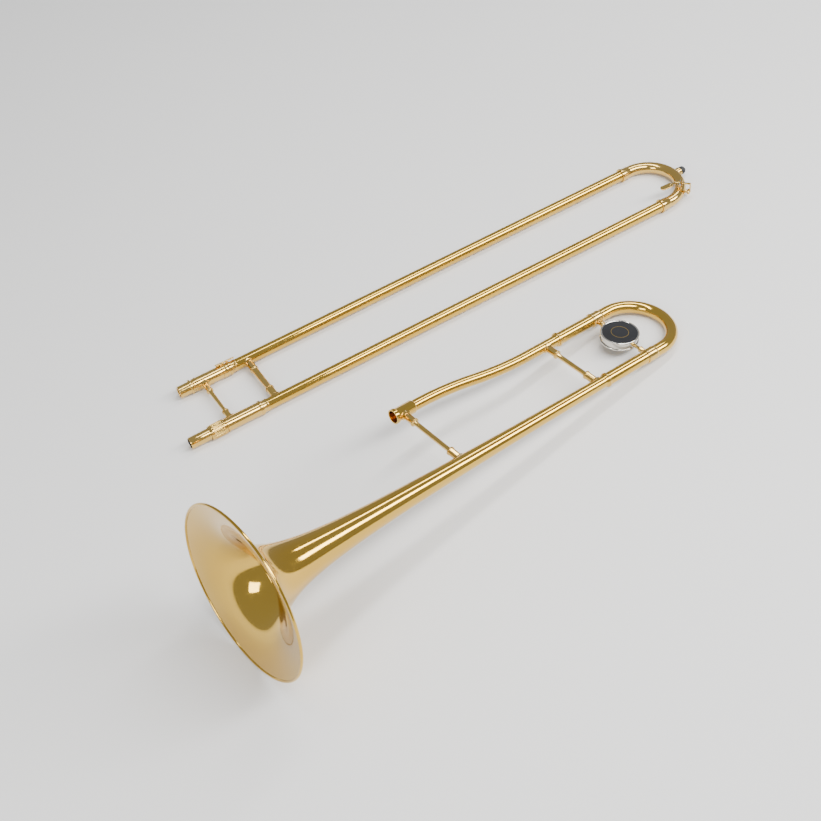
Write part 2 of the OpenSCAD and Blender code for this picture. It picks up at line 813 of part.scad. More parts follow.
bell_flare();
rim_wire();
bell_stem();
neckpipe();
slide_receiver();
front_brace();
front_brace_flanges();
rear_brace();
rear_brace_flanges();
tuning_sleeve_bell_side();
tuning_sleeve_neckpipe_side();
tuning_sleeve_rings();
tuning_leg_bell_side();
tuning_leg_neckpipe_side();
tuning_ferrules();
tuning_bow();
counterweight_body();
counterweight_faces();
counterweight_rims();
counterweight_arms();
mouthpiece_receiver();
receiver_ring();
leadpipe();
inner_tube_mouthpiece_side();
inner_tube_bell_side();
stocking_mouthpiece_side();
stocking_bell_side();
cork_barrel_mouthpiece_side();
cork_barrel_bell_side();
barrel_corks();
inner_brace();
inner_brace_flanges();
slide_tenon();
lock_nut();
slide_lock();
outer_tube_mouthpiece_side();
outer_tube_bell_side();
outer_end_bands();
lock_stud();
outer_brace();
outer_brace_flanges();
bow_ferrules();
slide_bow();
bumper_socket();
bumper_tip();
water_key_saddle();
water_key_nipple();
water_key_pin();
water_key_lever();
water_key_cork();
water_key_spring();
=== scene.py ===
import json
import math
from collections import namedtuple

import bpy
from mathutils import Matrix, Vector


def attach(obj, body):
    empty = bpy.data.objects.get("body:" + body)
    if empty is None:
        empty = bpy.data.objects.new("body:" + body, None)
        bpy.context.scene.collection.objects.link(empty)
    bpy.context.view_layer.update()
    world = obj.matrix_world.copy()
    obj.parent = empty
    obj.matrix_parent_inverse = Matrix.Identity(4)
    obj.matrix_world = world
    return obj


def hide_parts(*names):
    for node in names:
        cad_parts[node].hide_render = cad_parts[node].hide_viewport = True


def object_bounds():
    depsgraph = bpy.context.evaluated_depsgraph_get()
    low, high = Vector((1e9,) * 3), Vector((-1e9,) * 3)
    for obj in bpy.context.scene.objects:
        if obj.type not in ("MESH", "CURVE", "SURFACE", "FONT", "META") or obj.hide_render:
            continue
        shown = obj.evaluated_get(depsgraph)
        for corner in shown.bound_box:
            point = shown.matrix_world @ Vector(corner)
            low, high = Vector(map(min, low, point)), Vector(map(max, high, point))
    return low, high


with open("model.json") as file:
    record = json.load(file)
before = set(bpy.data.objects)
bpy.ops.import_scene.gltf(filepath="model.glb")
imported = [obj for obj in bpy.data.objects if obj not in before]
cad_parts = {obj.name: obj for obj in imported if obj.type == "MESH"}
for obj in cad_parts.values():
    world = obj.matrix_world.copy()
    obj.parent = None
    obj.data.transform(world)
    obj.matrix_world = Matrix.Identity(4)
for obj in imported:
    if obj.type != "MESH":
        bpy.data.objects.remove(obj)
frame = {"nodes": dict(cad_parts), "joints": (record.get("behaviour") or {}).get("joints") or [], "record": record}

cad_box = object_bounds()
joints = {joint["name"]: joint for joint in frame["joints"]}
mount_r = {m["name"]: m["dims"]["r_mm"] / 1000 for m in frame["record"]["mounts"]}
Gauge = namedtuple("Gauge", "start end across radius")

# ---------------------------------------------------------------------------------------
# The two sections of a tenor trombone lie side by side, taken apart as for the case. Each
# is measured in a frame of its own, with X along its tubes, Y across to its second tube
# and Z up from the plane of the tubes, and every piece is made there and then put in place.


def places_of(node, section):
    """The vertices of a CAD node, measured in a section's own frame."""
    into = section.inverted()
    return [into @ vertex.co for vertex in frame["nodes"][node].data.vertices]


def reach(node, section):
    """The lowest and highest corner of a CAD node, measured in a section's own frame."""
    places = places_of(node, section)
    low = Vector(min(place[i] for place in places) for i in range(3))
    high = Vector(max(place[i] for place in places) for i in range(3))
    return low, high


def gauge(node, section):
    """Both ends, the middle across, and the radius of a round CAD node along X."""
    places = places_of(node, section)
    across = (min(p.y for p in places) + max(p.y for p in places)) / 2
    radius = max(math.hypot(p.y - across, p.z) for p in places)
    return Gauge(min(p.x for p in places), max(p.x for p in places), across, radius)


def tube_frame(axis, node):
    """A frame along axis whose origin is the middle of the near end of a CAD tube."""
    along = Vector(axis).normalized()
    across = Vector((0, 0, 1)).cross(along).normalized()
    turn = Matrix((along, across, along.cross(across))).transposed().to_4x4()
    low, high = reach(node, turn)
    middle = (low + high) / 2
    return Matrix.Translation(turn @ Vector((low.x, middle.y, middle.z))) @ turn


bell_section = tube_frame(joints["tuning_slide_draw"]["axis"], "bell_flare")
slide_section = tube_frame(joints["hand_slide"]["axis"], "inner_tube_bell_side")

# ---------------------------------------------------------------------------------------
# The camera stands to the left of the bell's mouth, level with the bell section's own
# plane, and looks along and down on both sections through a short telephoto lens.
camera_place = Vector((-0.465, -0.823, 1.058))
camera_azimuth = math.radians(-39.8)
camera_height_angle = math.radians(41.2)
camera_lens = 61.4
camera_sensor = 36
camera_far = 20

sideways = Vector((math.cos(camera_azimuth), math.sin(camera_azimuth), 0))
backwards = Vector((math.sin(camera_azimuth) * math.cos(camera_height_angle),
                    -math.cos(camera_azimuth) * math.cos(camera_height_angle),
                    math.sin(camera_height_angle)))
looking = Matrix((sideways, backwards.cross(sideways), backwards)).transposed().to_4x4()
bpy.ops.object.camera_add()
camera = bpy.context.object
camera.name = "camera"
camera.data.lens = camera_lens
camera.data.sensor_width = camera_sensor
camera.data.clip_end = camera_far
camera.matrix_world = bell_section @ Matrix.Translation(camera_place) @ looking
bpy.context.scene.camera = camera

# ---------------------------------------------------------------------------------------
# A plain pale floor, matt, so that it carries the contact shadows and little else.


def clear_bench():
    """Leaves object mode on and nothing selected, so that a tool works on the new piece."""
    if bpy.context.mode != "OBJECT":
        bpy.ops.object.mode_set(mode="OBJECT")
    bpy.ops.object.select_all(action="DESELECT")


def linear(colour):
    """Turns an sRGB hex colour, such as "#D8A84A", into linear red, green, blue, alpha."""
    parts = [int(colour[i:i + 2], 16) / 255 for i in (1, 3, 5)]
    return [c / 12.92 if c <= 0.04045 else ((c + 0.055) / 1.055) ** 2.4 for c in parts] + [1]


def add_node(material, kind, settings=None, links=None):
    """Adds a shader node, sets its options and sockets, and links sockets to other nodes."""
    node = material.node_tree.nodes.new(kind)
    for key, value in (settings or {}).items():
        if isinstance(key, str) and hasattr(node, key):
            setattr(node, key, value)
        else:
            node.inputs[key].default_value = value
    for socket, (source, output) in (links or {}).items():
        material.node_tree.links.new(source.outputs[output], node.inputs[socket])
    return node


def new_material(name):
    """An empty node material, whose pieces all go in one slot."""
    material = bpy.data.materials.new(name)
    material.use_nodes = True
    material.node_tree.nodes.clear()
    return material


def grain_of(material, settings, kind="ShaderNodeTexNoise"):
    """A texture laid on a material in the piece's own coordinates."""
    place = add_node(material, "ShaderNodeTexCoord")
    return add_node(material, kind, settings, {"Vector": (place, "Object")})


def blend(material, dark, light, factor):
    """Blends two colours by another node's first output."""
    return add_node(material, "ShaderNodeMix", {
        "data_type": "RGBA", 6: linear(dark), 7: linear(light)}, {0: (factor, 0)})


def give_surface(material, colour, settings, links=None):
    """Gives a material its surface, in the colour that a blend puts out."""
    shader = add_node(material, "ShaderNodeBsdfPrincipled", settings,
                      {"Base Color": (colour, 2), **(links or {})})
    add_node(material, "ShaderNodeOutputMaterial", links={"Surface": (shader, 0)})


floor_half_width = 6
clear_bench()
bpy.ops.mesh.primitive_plane_add(size=2 * floor_half_width)
floor = bpy.context.object
floor.name = "floor"
bpy.ops.object.mode_set(mode="EDIT")
bpy.ops.mesh.subdivide(number_cuts=3)
bpy.ops.object.mode_set(mode="OBJECT")

# Matt painted board: near white, with a very slight unevenness of tone.
painted_board = new_material("painted_board")
board_tone = grain_of(painted_board, {"Scale": 1.5, "Detail": 3.0})
give_surface(painted_board, blend(painted_board, "#E9E8E6", "#EFEEEC", board_tone),
             {"Roughness": 0.7})
floor.data.materials.append(painted_board)

# ---------------------------------------------------------------------------------------
# Studio light: an even room, a soft box at the far right on the camera's side, which the
# polished tubes mirror as a long white streak, a narrow one above, and a fill by the bell.
room_light = 0.6
middle = (cad_box[0] + cad_box[1]) / 2

room = bpy.data.worlds.new("room")
bpy.context.scene.world = room
room.use_nodes = True
room.node_tree.nodes["Background"].inputs["Color"].default_value = linear("#D9DCE0")
room.node_tree.nodes["Background"].inputs["Strength"].default_value = room_light

for name, place, width, depth, power in (
        ("soft_box_key", (0.7, -1.25, 1.7), 3.0, 0.6, 90),
        ("soft_box_above", (0.7, 0.45, 2.1), 3.0, 0.3, 35),
        ("soft_box_bell", (-1.9, -0.9, 1.3), 0.8, 0.8, 20)):
    clear_bench()
    bpy.ops.object.light_add(type="AREA")
    lamp = bpy.context.object
    lamp.name = name
    lamp.data.shape = "RECTANGLE"
    lamp.data.size = width
    lamp.data.size_y = depth
    lamp.data.energy = power
    away = Vector(place).normalized()
    along = Vector((0, 1, 0)).cross(away).normalized()
    lamp.matrix_world = Matrix.Translation(middle + Vector(place)) @ Matrix(
        (along, away.cross(along), away)).transposed().to_4x4()

# ---------------------------------------------------------------------------------------
# Bell: a spun flare and a drawn stem of yellow brass sheet, brazed end to end, with the
# edge of the flare rolled round a wire. Polished and clear lacquered, inside and out.
sheet_wall = 0.0007
flare_scale = 0.011
flare_power = 0.68
bell_facets = 160
brass_tones = ("#CC9F36", "#E0B94F")


def turn_part(name, outline, facets=64, across=0.0, solid=False):
    """A turned part. Its outline, as (distance along, radius), is traced from one vertex
    and spun about the tube's axis; across is how far the axis lies off the section's X.
    A solid part's outline starts and ends on the axis."""
    clear_bench()
    points = [Vector((along, across + radius, 0)) for along, radius in outline]
    bpy.ops.mesh.primitive_plane_add(size=0.001, location=points[0])
    piece = bpy.context.object
    piece.name = name
    bpy.ops.object.mode_set(mode="EDIT")
    bpy.ops.mesh.merge(type="CENTER")
    for start, end in zip(points, points[1:] + ([] if solid else points[:1])):
        bpy.ops.mesh.extrude_region_move(TRANSFORM_OT_translate={"value": end - start})
    bpy.ops.mesh.select_all(action="SELECT")
    bpy.ops.mesh.remove_doubles(threshold=1e-7)
    bpy.ops.mesh.spin(steps=facets, angle=2 * math.pi, center=(0, across, 0), axis=(1, 0, 0))
    bpy.ops.mesh.select_all(action="SELECT")
    bpy.ops.mesh.remove_doubles(threshold=2e-7)
    bpy.ops.mesh.normals_make_consistent(inside=False)
    bpy.ops.object.mode_set(mode="OBJECT")
    return piece


def put_in_place(piece, section, smooth_below=40):
    """Moves a finished piece from its section's own frame into the model, and smooths it."""
    clear_bench()
    piece.select_set(True)
    bpy.context.view_layer.objects.active = piece
    bpy.ops.object.transform_apply()
    piece.matrix_world = section
    bpy.ops.object.transform_apply()
    bpy.ops.object.shade_smooth_by_angle(angle=math.radians(smooth_below))


flare_high = reach("bell_flare", bell_section)[1]
wire_low, wire_high = reach("rim_wire", bell_section)
stem_end = reach("bell_stem", bell_section)[1].x
bead_x = (wire_low.x + wire_high.x) / 2
bead_r = bead_x
rim_r = flare_high.y - bead_r
rim_x = bead_x + sheet_wall / 2
edge_r = rim_r - 0.6 * bead_r


def horn_radius(along):
    """Outside radius of the bell at a distance behind the rim."""
    return edge_r * (flare_scale / (along + flare_scale)) ** flare_power


def horn_inside(along):
    """The matching point on the inner surface, one sheet thickness in from the outside."""
    slope = -flare_power * horn_radius(along) / (along + flare_scale)
    size = math.hypot(1, slope)
    return rim_x + along + sheet_wall * slope / size, horn_radius(along) - sheet_wall / size


bell_stations = [(stem_end - rim_x) * (i / 56) ** 2.6 for i in range(1, 57)]
bell_outline = [(rim_x + along, horn_radius(along)) for along in reversed(bell_stations)]
for i in range(25):
    angle = math.radians(-72 + 334 * i / 24)
    bell_outline.append((bead_x + bead_r * math.cos(angle), rim_r + bead_r * math.sin(angle)))
bell_outline += [horn_inside(along) for along in bell_stations]
bell = turn_part("bell", bell_outline, bell_facets)


def lacquered_metal(name, section, tones, grain, roughness, spun=False):
    """Polished metal under clear lacquer. Its tone drifts over a hand's width, handling
    leaves duller patches a few millimetres across, and polishing leaves fine lines, along
    a drawn tube or round a spun one. tones are its dark and its light tone, and grain is
    the spacing of the lines in millimetres."""
    material = new_material(name)
    fine, coarse = 1000 / grain, 30
    along, round_it = (fine, coarse) if spun else (coarse, fine)
    place = add_node(material, "ShaderNodeTexCoord")
    lines_place = add_node(material, "ShaderNodeMapping", {
        "vector_type": "TEXTURE", "Rotation": section.to_euler(),
        "Scale": (1 / along, 1 / round_it, 1 / round_it)}, {"Vector": (place, "Object")})
    drift = grain_of(material, {"Scale": 9.0, "Detail": 2.0})
    handling = grain_of(material, {"Scale": 160.0, "Detail": 4.0, "Roughness": 0.6})
    dulling = add_node(material, "ShaderNodeMapRange", {
        "From Min": 0.35, "From Max": 0.75, "To Min": roughness * 0.7, "To Max": roughness * 1.7},
        {"Value": (handling, "Fac")})
    lines = add_node(material, "ShaderNodeTexNoise", {"Scale": 1.0, "Detail": 3.0},
                     {"Vector": (lines_place, "Vector")})
    relief = add_node(material, "ShaderNodeBump", {"Strength": 0.12, "Distance": 0.00003},
                      {"Height": (lines, "Fac")})
    give_surface(material, blend(material, *tones, drift), {
        "Metallic": 1.0, "Coat Weight": 0.5, "Coat Roughness": 0.04, "Coat IOR": 1.5},
        {"Roughness": (dulling, 0), "Normal": (relief, 0)})
    return material


def finish(piece, section, material, body, *nodes):
    """Puts a piece in place, on its body, and hides the CAD nodes it shows."""
    put_in_place(piece, section)
    piece.data.materials.clear()
    piece.data.materials.append(material)
    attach(piece, body)
    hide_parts(*nodes)


def look_of(node, metal):
    """Gives a CAD node that is kept as it is its material."""
    frame["nodes"][node].data.materials.clear()
    frame["nodes"][node].data.materials.append(metal)


# Lacquered yellow brass, spun and then buffed: warm gold, mirror bright, with the faint
# rings of the spinning lathe. The rings are drawn 1.2 mm apart, coarser than real, to show.
spun_brass = lacquered_metal(
    "lacquered_spun_brass", bell_section, brass_tones, 1.2, 0.09,
    spun=True)
finish(bell, bell_section, spun_brass, "bell_section", "bell_flare", "bell_stem")

# The rim wire is a soft brass wire, shut inside the rolled edge.
look_of("rim_wire", spun_brass)

# ---------------------------------------------------------------------------------------
# Neckpipe: drawn yellow brass tube, bent sideways in two easy curves, the gooseneck, so
# that the hand slide clears the bell. One end takes the slide receiver, the other the
# tuning sleeve.
neck_wall = 0.0006
goose_after_receiver = 0.006
goose_before_stem_end = 0.04
goose_steps = 14


def start_tube(name, place, radius, facets=64):
    """An open ring of edges facing along X, ready to be drawn out into a tube."""
    clear_bench()
    bpy.ops.mesh.primitive_circle_add(vertices=facets, radius=radius, location=place,
                                      rotation=(0, math.pi / 2, 0), enter_editmode=True)
    tube = bpy.context.object
    tube.name = name
    return tube


def draw_out(length):
    """Draws the selected end of a tube straight along X."""
    bpy.ops.mesh.extrude_region_move(TRANSFORM_OT_translate={"value": (length, 0, 0)})


def bend_tube(centre, degrees, steps):
    """Bends the selected end of a tube on round a centre, clockwise as seen from above."""
    bpy.ops.mesh.spin(steps=steps, angle=math.radians(degrees), center=centre, axis=(0, 0, 1))


def close_tube(tube, wall):
    """Merges what the bends doubled and gives the tube its wall, inwards."""
    bpy.ops.mesh.select_all(action="SELECT")
    bpy.ops.mesh.remove_doubles(threshold=1e-6)
    bpy.ops.mesh.normals_make_consistent(inside=False)
    bpy.ops.object.mode_set(mode="OBJECT")
    solid = tube.modifiers.new("wall", "SOLIDIFY")
    solid.thickness = wall
    solid.offset = -1
    solid.use_even_offset = True
    bpy.ops.object.modifier_apply(modifier=solid.name)


neck_low, neck_high = reach("neckpipe", bell_section)
receiver_start, receiver_end, socket_y, collar_r = gauge("slide_receiver", bell_section)
_, _, neck_y, sleeve_r = gauge("tuning_sleeve_neckpipe_side", bell_section)
neck_r = (neck_high.z - neck_low.z) / 2
goose_start = receiver_end + goose_after_receiver
goose_end = stem_end - goose_before_stem_end
goose_angle = 2 * math.atan((socket_y - neck_y) / (goose_end - goose_start))
goose_r = (goose_end - goose_start) / (2 * math.sin(goose_angle))
neckpipe = start_tube("neckpipe", (neck_high.x, neck_y, 0), neck_r)
draw_out(goose_end - neck_high.x)
bend_tube((goose_end, neck_y + goose_r, 0), math.degrees(goose_angle), goose_steps)
bend_tube((goose_start, socket_y - goose_r, 0), -math.degrees(goose_angle), goose_steps)
draw_out(neck_low.x - goose_start)
close_tube(neckpipe, neck_wall)

# Lacquered yellow brass, drawn and polished: the same gold as the bell, with fine lines
# along the tube, drawn 0.5 mm apart so that they show.
drawn_brass = lacquered_metal(
    "lacquered_drawn_brass", bell_section, brass_tones, 0.5, 0.08)
finish(neckpipe, bell_section, drawn_brass, "bell_section", "neckpipe")

# ---------------------------------------------------------------------------------------
# Slide receiver: the sleeve on the neckpipe's open end that takes the hand slide's tenon,
# with a rounded collar round its mouth and its back end tapered down to the neckpipe.
collar_length = 0.005
collar_rise = 0.0009


def ease_edges(piece, width, steps=2, above=30):
    """Takes the sharp edges off a piece, as polishing does."""
    bevel = piece.modifiers.new("eased edges", "BEVEL")
    bevel.width = width
    bevel.segments = steps
    bevel.limit_method = "ANGLE"
    bevel.angle_limit = math.radians(above)
    bpy.context.view_layer.objects.active = piece
    bpy.ops.object.modifier_apply(modifier=bevel.name)


receiver_bore = mount_r["bell_receiver"]
receiver_r = collar_r - collar_rise
bore_end = neck_low.x
receiver = turn_part("slide_receiver", [
    (receiver_start, receiver_bore), (receiver_start, collar_r),
    (receiver_start + collar_length * 0.8, collar_r),
    (receiver_start + collar_length, receiver_r + 0.0003),
    (receiver_start + collar_length + 0.0006, receiver_r),
    (receiver_end - 0.0025, receiver_r), (receiver_end, neck_r + 0.0003),
    (receiver_end, neck_r), (bore_end, neck_r), (bore_end, receiver_bore)], across=socket_y)
ease_edges(receiver, 0.0004, 3)
finish(receiver, bell_section, drawn_brass, "bell_section", "slide_receiver")

# ---------------------------------------------------------------------------------------
# Bell braces: two turned rods between the bell's stem and the neckpipe side. Each has a
# socket and a ring at both ends and stands on a saddle soldered to each tube.
saddle_rise = 0.0012
saddle_across = 0.013
saddle_reach = 0.01
saddle_cut = 0.03
brace_ring_width = 0.002
brace_grip = 0.001


def crosswise(x):
    """A frame whose X runs across the section, from its first tube towards the second."""
    return Matrix.Translation((x, 0, 0)) @ Matrix.Rotation(math.pi / 2, 4, "Z")


def turn_brace(name, start, end, rod_r, socket_r, socket_length, ring_r):
    """A brace rod, with its sockets and rings, turned in one piece along X."""
    ring = start + socket_length
    half = [(start, 0), (start, socket_r), (ring, socket_r), (ring, ring_r - 0.0003),
            (ring + 0.0003, ring_r), (ring + brace_ring_width - 0.0003, ring_r),
            (ring + brace_ring_width, ring_r - 0.0003),
            (ring + brace_ring_width + 0.0004, rod_r + 0.0003),
            (ring + brace_ring_width + 0.0012, rod_r)]
    other = [(start + end - x, r) for x, r in reversed(half)]
    brace = turn_part(name, half + other, 48, solid=True)
    ease_edges(brace, 0.00015)
    return brace


def make_saddle(name, x, across, r_low, r_high, side):
    """The round saddle under a brace's end: a disc cut from a shell that wraps the tube."""
    shell = turn_part(name, [
        (x - saddle_reach, r_low), (x - saddle_reach, r_low + saddle_rise),
        (x + saddle_reach, r_high + saddle_rise), (x + saddle_reach, r_high)], 128, across)
    clear_bench()
    bpy.ops.mesh.primitive_cylinder_add(
        vertices=64, radius=saddle_across / 2, depth=saddle_cut,
        location=(x, across + side * saddle_cut / 2, 0), rotation=(math.pi / 2, 0, 0))
    cutter = bpy.context.object
    cut = shell.modifiers.new("saddle", "BOOLEAN")
    cut.operation = "INTERSECT"
    cut.solver = "EXACT"
    cut.object = cutter
    bpy.context.view_layer.objects.active = shell
    bpy.ops.object.modifier_apply(modifier=cut.name)
    bpy.data.objects.remove(cutter)
    ease_edges(shell, 0.0004, 3, 50)
    return shell


def fit_brace(node, body, section, x, radii, sizes):
    """A brace at x with both its saddles. radii holds the radius of the first tube on
    either side of the brace and of the second; sizes holds the rod's and sockets'."""
    first_low, first_high, second = radii
    across = sizes["across"]
    brace = turn_brace(node, (first_low + first_high) / 2 + saddle_rise - brace_grip,
                       across - second - saddle_rise + brace_grip, sizes["rod"],
                       sizes["socket"], sizes["socket_length"], sizes["ring"])
    finish(brace, section @ crosswise(x), fitting_brass, body, node)
    for end, saddle_y, low, high, side in (("a", 0, first_low, first_high, 1),
                                           ("b", across, second, second, -1)):
        saddle = make_saddle(node + "_saddle_" + end, x, saddle_y, low, high, side)
        finish(saddle, section, fitting_brass, body, node + "_flanges")


def middle_of(node, section):
    """The distance along a section at which the middle of a CAD node lies."""
    low, high = reach(node, section)
    return (low.x + high.x) / 2


# Lacquered pale brass, for all turned and cast fittings: a shade lighter and redder than
# the tubes, with the fine rings of the lathe.
fitting_brass = lacquered_metal(
    "lacquered_fitting_brass", bell_section, ("#D2A850", "#E6C26C"), 0.6, 0.1)

bell_brace = {"rod": 0.003, "socket": 0.0046, "socket_length": 0.013, "ring": 0.0054}
for node, second_r, across in (("front_brace", receiver_r, socket_y),
                               ("rear_brace", neck_r, neck_y)):
    brace_x = middle_of(node, bell_section)
    fit_brace(node, "bell_section", bell_section, brace_x,
              (horn_radius(brace_x - saddle_reach - rim_x),
               horn_radius(brace_x + saddle_reach - rim_x), second_r),
              {**bell_brace, "across": across})

# ---------------------------------------------------------------------------------------
# Tuning sleeves: two drawn tubes, brazed over the ends of the stem and of the neckpipe,
# with a turned ring at each end. The tuning slide's legs run inside them.
sleeve_bore = gauge("tuning_leg_neckpipe_side", bell_section).radius + 0.00005
sleeve_ring_width = 0.003
sleeve_lap = 0.003
ring_rise = 0.0013


def make_ring(name, x, across, inner, outer, width):
    """A turned ring with a rounded edge, soldered round a tube."""
    ring = turn_part(name, [
        (x, inner), (x, outer - 0.0006), (x + 0.0006, outer), (x + width - 0.0006, outer),
        (x + width, outer - 0.0006), (x + width, inner)], 96, across)
    ease_edges(ring, 0.0002, 2)
    return ring


for node, tube_r in (("tuning_sleeve_bell_side", horn_radius(stem_end - rim_x)),
                     ("tuning_sleeve_neckpipe_side", neck_r)):
    start, end, across, radius = gauge(node, bell_section)
    lap_end = start + sleeve_lap
    sleeve = turn_part(node, [
        (start, tube_r), (start, tube_r + 0.0003), (start + 0.0006, radius), (end, radius),
        (end, sleeve_bore), (lap_end, sleeve_bore), (lap_end, tube_r)], 96, across)
    finish(sleeve, bell_section, drawn_brass, "bell_section", node)
    for x in (lap_end, end - sleeve_ring_width):
        ring = make_ring(node + "_ring", x, across, radius - 0.0001, radius + ring_rise,
                         sleeve_ring_width)
        finish(ring, bell_section, fitting_brass, "bell_section", "tuning_sleeve_rings")

# ---------------------------------------------------------------------------------------
# Tuning slide: two inner legs of bright nickel that run in the sleeves, a ferrule on
# each, and the wide bow of yellow brass that joins them.
leg_wall = 0.00055
bow_wall = 0.0006
nickel_tones = ("#C4C0B8", "#D6D3CC")
ferrule_rise = 0.0005
ferrule_collar_rise = 0.0008
leg_end = gauge("tuning_leg_bell_side", bell_section).end

# Bright nickel plate over brass: a warm silver, harder and glassier than the brass, with
# only the faintest draw lines.
bright_nickel = lacquered_metal(
    "bright_nickel_plate", bell_section, nickel_tones, 0.4, 0.06)

for node in ("tuning_leg_bell_side", "tuning_leg_neckpipe_side"):
    start, end, across, radius = gauge(node, bell_section)
    leg = turn_part(node, [
        (start, radius - leg_wall), (start, radius - 0.0002), (start + 0.0003, radius),
        (end, radius), (end, radius - leg_wall)], 96, across)
    finish(leg, bell_section, bright_nickel, "tuning_slide", node)

bow_low, bow_high = reach("tuning_bow", bell_section)
bow_r = (bow_high.z - bow_low.z) / 2
bow_half = (bow_high.y - bow_low.y) / 2 - bow_r
bend_x = bow_high.x - bow_r - bow_half
bow = start_tube("tuning_bow", (bow_low.x, 0, 0), bow_r, 96)
draw_out(bend_x - bow_low.x)
bend_tube((bend_x, bow_half, 0), -180, 48)
draw_out(bow_low.x - bend_x)
close_tube(bow, bow_wall)
finish(bow, bell_section, drawn_brass, "tuning_slide", "tuning_bow")

ferrule_low, ferrule_high = reach("tuning_ferrules", bell_section)
leg_r = gauge("tuning_leg_bell_side", bell_section).radius
for across in (0, neck_y):
    ferrule = turn_part("tuning_ferrule", [
        (ferrule_low.x, leg_r), (ferrule_low.x, sleeve_r + ferrule_rise),
        (leg_end, sleeve_r + ferrule_rise), (leg_end + 0.0002, sleeve_r + ferrule_collar_rise),
        (ferrule_high.x - 0.0012, sleeve_r + ferrule_collar_rise),
        (ferrule_high.x, bow_r + 0.0002),
        (ferrule_high.x, bow_r), (leg_end, bow_r), (leg_end, leg_r)], 96, across)
    ease_edges(ferrule, 0.0002)
    finish(ferrule, bell_section, fitting_brass, "tuning_slide", "tuning_ferrules")

# ---------------------------------------------------------------------------------------
# Counterweight: a heavy round disc between the tuning slide's legs, held by two short
# turned arms. Each face is black enamel inside a bright rim, with a plain gilt circle.
circle_inner_r = 0.0102
circle_outer_r = 0.0112
circle_rise = 0.00006
arm_rod_r = 0.0022
arm_foot_r = 0.0032

weight_low, weight_high = reach("counterweight_rims", bell_section)
weight_x = (weight_low.x + weight_high.x) / 2
weight_y = (weight_low.y + weight_high.y) / 2
weight_r = (weight_high.x - weight_low.x) / 2
weight_half = (weight_high.z - weight_low.z) / 2
face_half = reach("counterweight_faces", bell_section)[1].z
upright = (bell_section @ Matrix.Translation((weight_x, weight_y, 0))
           @ Matrix.Rotation(-math.pi / 2, 4, "Y"))

body_half = face_half - 0.0004
weight = turn_part("counterweight", [
    (-body_half, 0), (-body_half, weight_r - 0.0014), (-body_half + 0.0012, weight_r - 0.0010),
    (body_half - 0.0012, weight_r - 0.0010), (body_half, weight_r - 0.0014), (body_half, 0)],
    128, solid=True)
finish(weight, upright, bright_nickel, "tuning_slide", "counterweight_body")

# Gloss black enamel: near black, a thick smooth coat that mirrors the soft boxes.
black_enamel = new_material("gloss_black_enamel")
enamel_flow = grain_of(black_enamel, {"Scale": 60.0, "Detail": 2.0})
enamel_gloss = add_node(black_enamel, "ShaderNodeMapRange", {"To Min": 0.1, "To Max": 0.22},
                        {"Value": (enamel_flow, "Fac")})
give_surface(black_enamel, blend(black_enamel, "#141416", "#1C1C1F", enamel_flow),
             {"Coat Weight": 0.6, "Coat Roughness": 0.05}, {"Roughness": (enamel_gloss, 0)})

for side in (-1, 1):
    rim = turn_part("counterweight_rim", [
        (side * (body_half - 0.0014), weight_r - 0.0009),
        (side * (body_half - 0.0010), weight_r), (side * (weight_half - 0.0006), weight_r),
        (side * weight_half, weight_r - 0.0006), (side * weight_half, weight_r - 0.0014),
        (side * (face_half - 0.0001), weight_r - 0.0022),
        (side * (face_half - 0.0006), weight_r - 0.0022),
        (side * (body_half - 0.0002), weight_r - 0.0012)], 128)
    ease_edges(rim, 0.0001)
    finish(rim, upright, bright_nickel, "tuning_slide", "counterweight_rims")
    face = turn_part("counterweight_face", [
        (side * (face_half - 0.0007), 0), (side * (face_half - 0.0007), weight_r - 0.0019),
        (side * (face_half - 0.0001), weight_r - 0.0021), (side * face_half, weight_r - 0.0028),
        (side * face_half, 0)], 128, solid=True)
    finish(face, upright, black_enamel, "tuning_slide", "counterweight_faces")
    circle = turn_part("counterweight_circle", [
        (side * (face_half - 0.0002), circle_inner_r),
        (side * (face_half + circle_rise), circle_inner_r + 0.0002),
        (side * (face_half + circle_rise), circle_outer_r - 0.0002),
        (side * (face_half - 0.0002), circle_outer_r)], 96)
    finish(circle, upright, fitting_brass, "tuning_slide", "counterweight_faces")

arm_start = sleeve_r + ferrule_rise
for side, tube_y in ((1, 0), (-1, neck_y)):
    to_weight = (weight_y - tube_y) * side - weight_r + 0.0012
    arm = turn_part("counterweight_arm", [
        (arm_start - 0.0012, 0), (arm_start - 0.0012, arm_foot_r), (arm_start + 0.005, arm_foot_r),
        (arm_start + 0.0052, 0.0037), (arm_start + 0.0056, 0.0039),
        (arm_start + 0.0064, 0.0039), (arm_start + 0.0068, 0.0036),
        (arm_start + 0.0074, 0.0024), (arm_start + 0.008, arm_rod_r),
        (to_weight, arm_rod_r), (to_weight, 0)], 48, solid=True)
    ease_edges(arm, 0.00015)
    across = Matrix.Translation((weight_x, tube_y, 0)) @ Matrix.Rotation(
        side * math.pi / 2, 4, "Z")
    finish(arm, bell_section @ across, fitting_brass, "tuning_slide", "counterweight_arms")

# ---------------------------------------------------------------------------------------
# Mouthpiece receiver: a short turned tube at the open end of the hand slide's second
# tube, with a wide ring, and the leadpipe behind it inside the inner tube.
mouth_start, mouth_end, second_y, cup_r = gauge("mouthpiece_receiver", slide_section)
ring_start, ring_end, _, rest_r = gauge("receiver_ring", slide_section)
lead_r = gauge("leadpipe", slide_section).radius
shank_bore = mount_r["mouthpiece_socket"]
mouth_r = shank_bore + 0.0015
shank_depth = 0.02

